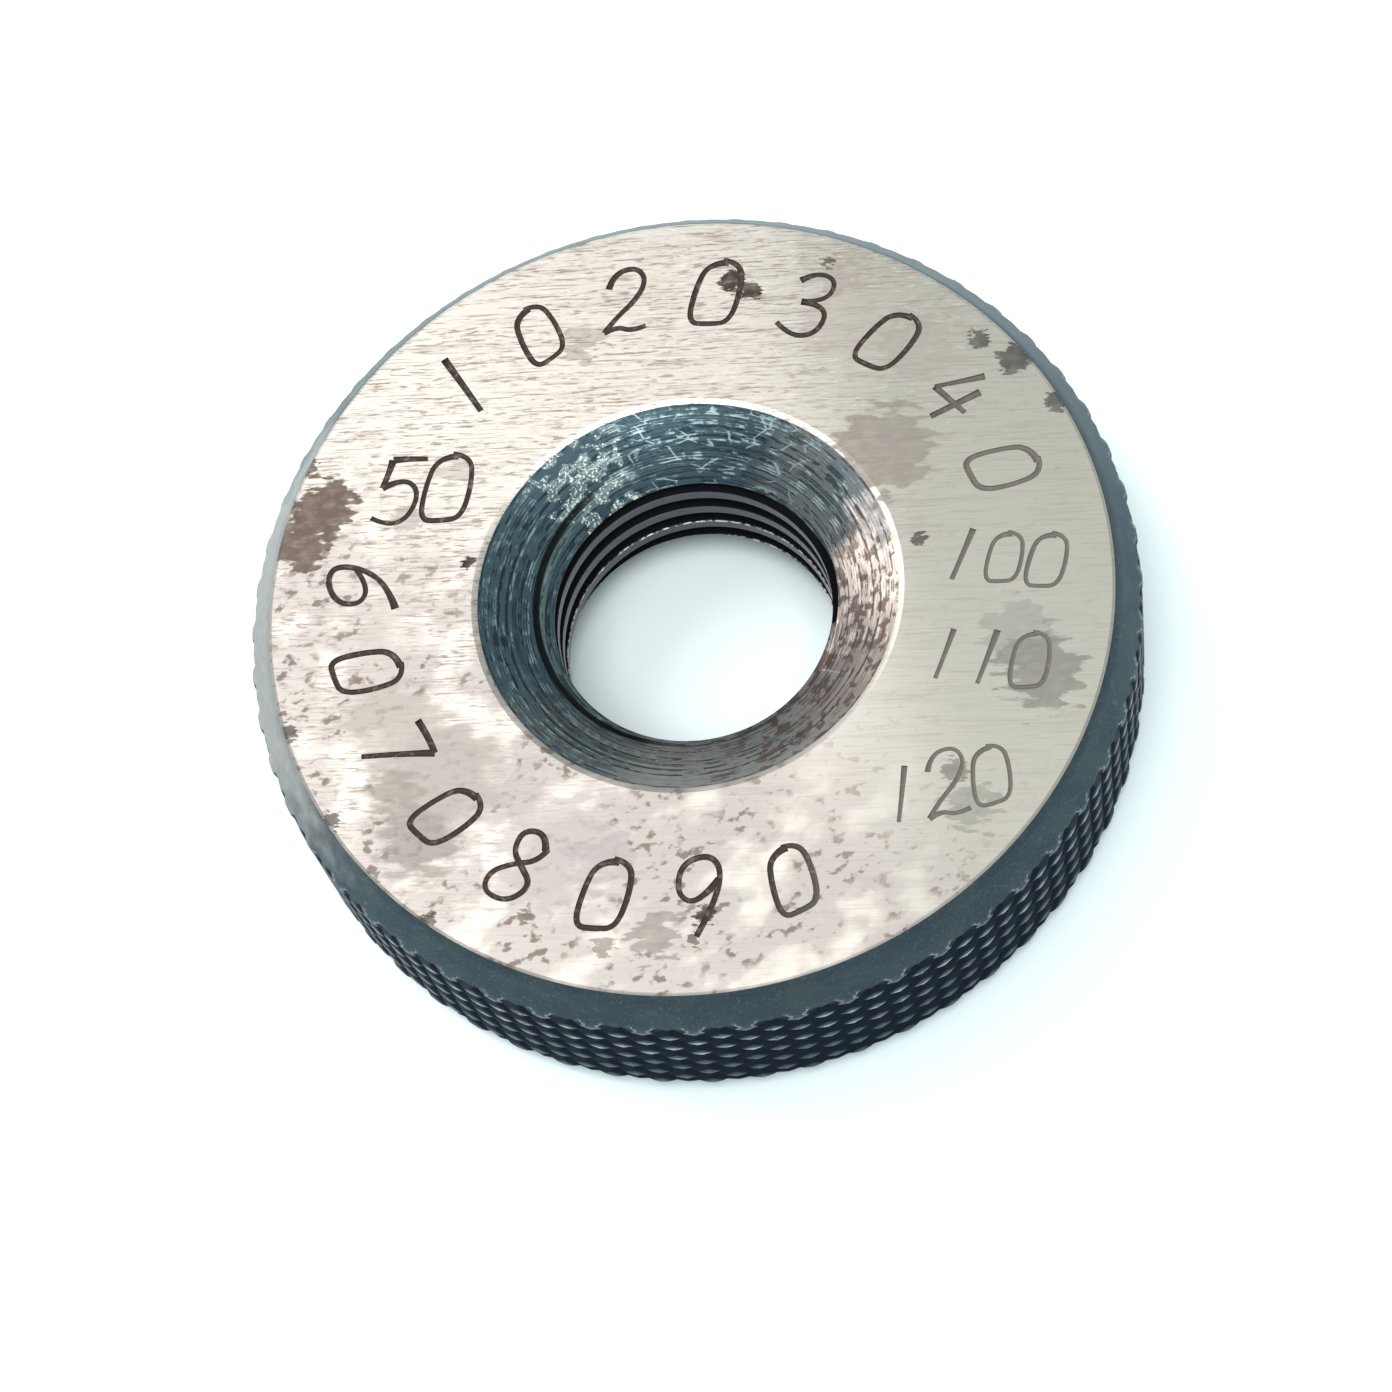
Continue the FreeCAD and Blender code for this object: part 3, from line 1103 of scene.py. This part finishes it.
@dataclass
class ScribedNumbers:
    """Plain counting numbers scribed freehand into the marked face, as shallow round grooves."""

    face_height: float
    line_radius: float = 0.128
    line_lift: float = 0.045
    blunt_end: float = 1.3
    digit_width: float = 0.6
    slant: float = 0.14
    wobble_turn: float = 5.0
    wobble_size: float = 0.07
    shake: float = 0.12
    seed: int = 5
    rows: tuple = (
        NumberRow("10203040", 12.9, 117.0, 4.0, 2.7),
        NumberRow("50", 11.4, 138.0, 138.0, 2.7, heading=-16.0),
        NumberRow("60708090", 12.4, 160.0, 272.0, 2.7, tops_outward=False),
        NumberRow("100", 12.0, -13.0, -13.0, 2.2, heading=-24.0, weight=0.85),
        NumberRow("110", 11.7, -33.0, -33.0, 2.2, heading=-24.0, weight=0.8),
        NumberRow("120", 12.7, -57.5, -57.5, 2.3, heading=-6.0, weight=0.8),
    )

    def tool_path(self) -> bpy.types.Object:
        """Sweeps the scriber's round point along every stroke.

        Returns:
            The swept strokes as one mesh object, in millimetres.
        """
        shaky = random.Random(self.seed)
        curve = bpy.data.curves.new("scriber_path", "CURVE")
        curve.dimensions = "3D"
        curve.bevel_depth = self.line_radius
        curve.bevel_resolution = 2
        curve.use_fill_caps = True
        curve.resolution_u = 8
        for row in self.rows:
            for digit, x, y, heading in row.places():
                turn = math.radians(heading + shaky.uniform(-self.wobble_turn, self.wobble_turn))
                size = row.height * (1 + shaky.uniform(-self.wobble_size, self.wobble_size))
                place = Matrix.Translation((x, y, self.face_height + self.line_lift))
                place = place @ Matrix.Rotation(turn, 4, "Z") @ Matrix.Scale(size, 4)
                for stroke in DIGIT_STROKES[digit]:
                    points = [[int(part) / 100 for part in point.split(",")] for point in stroke.split()]
                    weights = [row.weight * shaky.uniform(1 - self.shake, 1 + self.shake) for _ in points]
                    weights[0] *= self.blunt_end
                    self.add_stroke(curve, place, points, weights)
        path = add_object("scriber_path", curve)
        graph = bpy.context.evaluated_depsgraph_get()
        mesh = bpy.data.meshes.new_from_object(path.evaluated_get(graph))
        bpy.data.objects.remove(path)
        return add_object("scribed_strokes", mesh)

    def add_stroke(self, curve: bpy.types.Curve, place: Matrix, points: list, weights: list) -> None:
        """Adds one stroke of a digit to the scriber's path.

        Args:
            curve: Curve that gets the stroke.
            place: Middle, direction and height of the digit.
            points: Control points, as shares of the digit's height.
            weights: Width of the line at each point, as a share of the usual one.
        """
        spline = curve.splines.new("NURBS")
        spline.points.add(len(points) - 1)
        for point, (across, up), weight in zip(spline.points, points, weights):
            up -= 0.5
            right = across - self.digit_width / 2 + self.slant * up
            point.co = (*(place @ Vector((right, up, 0.0))), 1.0)
            point.radius = weight
        spline.order_u = 3
        spline.use_endpoint_u = True


@dataclass
class GaugeRing:
    """The whole gauge: one piece of steel, joined from its rim's skin and its threaded core.

    The slacks allow for the weld and for short straight edges on round shapes.
    """

    thickness: float
    rim_radius: float
    weld_distance: float = 0.002
    sharp_angle: float = 38.6
    slack: float = 0.001
    cone_slack: float = 0.02
    line_depth: float = 0.2
    level_normal: float = 0.9999

    def build(self) -> bpy.types.Object:
        """Models the gauge and dresses it in its finishes.

        Returns:
            The gauge as one object, in metres, which replaces the plain node.
        """
        rim = KnurledRim(self.rim_radius, self.thickness)
        core = ThreadedCore(rim)
        numbers = ScribedNumbers(self.thickness)
        inside = cut_away(core.solid(), [core.groove(), numbers.tool_path()])
        body = bmesh.new()
        body.from_mesh(inside)
        self.drop_wall(body, rim)
        skin = rim.skin()
        skin_mesh = bpy.data.meshes.new("rim_skin")
        skin.to_mesh(skin_mesh)
        skin.free()
        body.from_mesh(skin_mesh)
        bmesh.ops.remove_doubles(body, verts=body.verts, dist=self.weld_distance)
        bmesh.ops.dissolve_degenerate(body, dist=self.weld_distance, edges=body.edges)
        self.level_faces(body)
        bmesh.ops.recalc_face_normals(body, faces=body.faces)
        open_edges = sum(1 for edge in body.edges if not edge.is_manifold)
        LOG.info("gauge body: %d faces, %d open or doubled edges", len(body.faces), open_edges)
        for face in body.faces:
            face.smooth = abs(face.normal.z) < self.level_normal
            face.material_index = self.skin_of(face, rim, core).index
        for edge in body.edges:
            is_border = edge.link_faces[0].smooth != edge.link_faces[1].smooth
            edge.smooth = not is_border and edge.calc_face_angle() < math.radians(self.sharp_angle)
        bmesh.ops.scale(body, vec=(MM, MM, MM), verts=body.verts)
        gauge = add_object("gauge_body", body)
        for skin_kind in Skin:
            gauge.data.materials.append(skin_kind.value.material())
        return gauge

    def level_faces(self, body: bmesh.types.BMesh) -> None:
        """Brings the vertices that the weld left a hair off a flat face back onto it."""
        for vert in body.verts:
            for level in (0.0, self.thickness):
                if abs(vert.co.z - level) < 2 * self.weld_distance:
                    vert.co.z = level

    def drop_wall(self, body: bmesh.types.BMesh, rim: KnurledRim) -> None:
        """Deletes the core's outer wall, where the rim's skin takes its place.

        Args:
            body: The core, cut and in millimetres.
            rim: The rim whose skin meets the core.
        """
        wall = [
            face
            for face in body.faces
            if all(vert.co.xy.length > rim.top_seam - self.slack for vert in face.verts) and abs(face.normal.z) < 0.5
        ]
        bmesh.ops.delete(body, geom=wall, context="FACES")

    def skin_of(self, face: bmesh.types.BMFace, rim: KnurledRim, core: ThreadedCore) -> Skin:
        """Finds the finish of a face from where it lies.

        Args:
            face: Face of the body, in millimetres.
            rim: The rim's sizes.
            core: The core's sizes.

        Returns:
            The finish.
        """
        middle = face.calc_center_median()
        radius = middle.xy.length
        depth = min(middle.z, rim.thickness - middle.z)
        mouth = core.countersink_radius
        if depth < rim.edge_break and radius > rim.top_seam:
            return Skin.GROUND
        if radius > rim.top_seam:
            return Skin.RIM
        if radius > mouth + 10 * self.slack and depth < self.line_depth:
            is_level = depth < self.slack / 2
            return Skin.GROUND if is_level or radius < mouth + core.mouth_break_width else Skin.SCRIBED
        if depth < core.mouth_break_depth + 5 * self.slack:
            return Skin.GROUND
        on_cone = depth < core.countersink_depth and abs(radius - core.cone_radius(middle.z)) < self.cone_slack
        on_run_out = rim.thickness - middle.z < core.countersink_depth
        return Skin.COUNTERSINK if on_cone or on_run_out else Skin.THREAD


@dataclass(frozen=True)
class Lamp:
    """A square soft light that looks at the gauge, with angles in degrees, lengths in metres and watts."""

    name: str
    azimuth: float
    elevation: float
    distance: float
    size: float
    power: float

    def hang(self) -> None:
        """Adds the light to the scene."""
        data = bpy.data.lights.new(self.name, "AREA")
        data.size = self.size
        data.energy = self.power
        turn, rise = math.radians(self.azimuth), math.radians(self.elevation)
        ray = Vector((math.cos(rise) * math.cos(turn), math.cos(rise) * math.sin(turn), math.sin(rise)))
        place = self.distance * ray
        lamp = add_object(self.name, data)
        lamp.matrix_world = Matrix.Translation(place) @ place.to_track_quat("Z", "Y").to_matrix().to_4x4()


@dataclass
class Studio:
    """Plain pale floor, soft light and the camera that took the photograph.

    The camera's distance and offsets are in radii of the marked face, from that face's centre.
    """

    thickness: float
    face_radius: float = 16.0
    focal_pixels: float = 3494.0
    image_pixels: int = 1392
    sensor_width: float = 36.0
    tilt: float = 24.9
    roll: float = 17.71
    distance: float = 8.22
    right_offset: float = -0.0535
    up_offset: float = -0.2436
    near_limit: float = 0.01
    floor_reach: float = 0.6
    sky_colour: str = "#ecf6fa"
    sky_strength: float = 0.85
    lamps: tuple = (
        Lamp("window_light", azimuth=135.0, elevation=50.0, distance=0.5, size=0.25, power=1.2),
        Lamp("overhead_light", azimuth=-100.0, elevation=76.0, distance=0.6, size=0.35, power=2.4),
    )

    def place_camera(self) -> None:
        """Places the camera and makes it the scene's."""
        tilt, roll = math.radians(self.tilt), math.radians(self.roll)
        back = Vector((0.0, -math.sin(tilt), math.cos(tilt)))
        right = Vector((0.0, 0.0, 1.0)).cross(back).normalized()
        up = back.cross(right)
        away = self.distance * back + self.right_offset * right + self.up_offset * up
        centre = Vector((0.0, 0.0, self.thickness))
        data = bpy.data.cameras.new("photo_camera")
        data.sensor_width = self.sensor_width
        data.lens = self.sensor_width * self.focal_pixels / self.image_pixels
        data.clip_start = self.near_limit
        image_right = math.cos(roll) * right - math.sin(roll) * up
        image_up = math.sin(roll) * right + math.cos(roll) * up
        turned = Matrix((image_right, image_up, back)).transposed().to_4x4()
        camera = add_object("photo_camera", data)
        camera.matrix_world = Matrix.Translation((centre + away * self.face_radius) * MM) @ turned
        bpy.context.scene.camera = camera

    def build(self) -> None:
        """Makes the floor, the lights, the sky and the camera."""
        grid = bmesh.new()
        bmesh.ops.create_grid(grid, x_segments=2, y_segments=2, size=self.floor_reach)
        floor = add_object("floor", grid)
        floor.data.materials.append(MattPaper().material())
        for lamp in self.lamps:
            lamp.hang()
        world = bpy.data.worlds.new("studio_sky")
        world.use_nodes = True
        sky = world.node_tree.nodes["Background"].inputs
        sky["Color"].default_value = linear(self.sky_colour)
        sky["Strength"].default_value = self.sky_strength
        bpy.context.scene.world = world
        bpy.context.scene.view_settings.view_transform = "Standard"
        self.place_camera()


def main() -> None:
    """Loads the frame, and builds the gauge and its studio."""
    logging.basicConfig(level=logging.INFO, format="%(name)s: %(message)s")
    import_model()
    low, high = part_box(NODE)
    thickness = (high[2] - low[2]) / MM
    rim_radius = (high[0] - low[0]) / 2 / MM
    gauge = GaugeRing(thickness, rim_radius).build()
    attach(gauge, "root")
    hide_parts(NODE)
    LOG.info("gauge: %d faces", len(gauge.data.polygons))
    Studio(thickness).build()


if __name__ == "__main__":
    main()
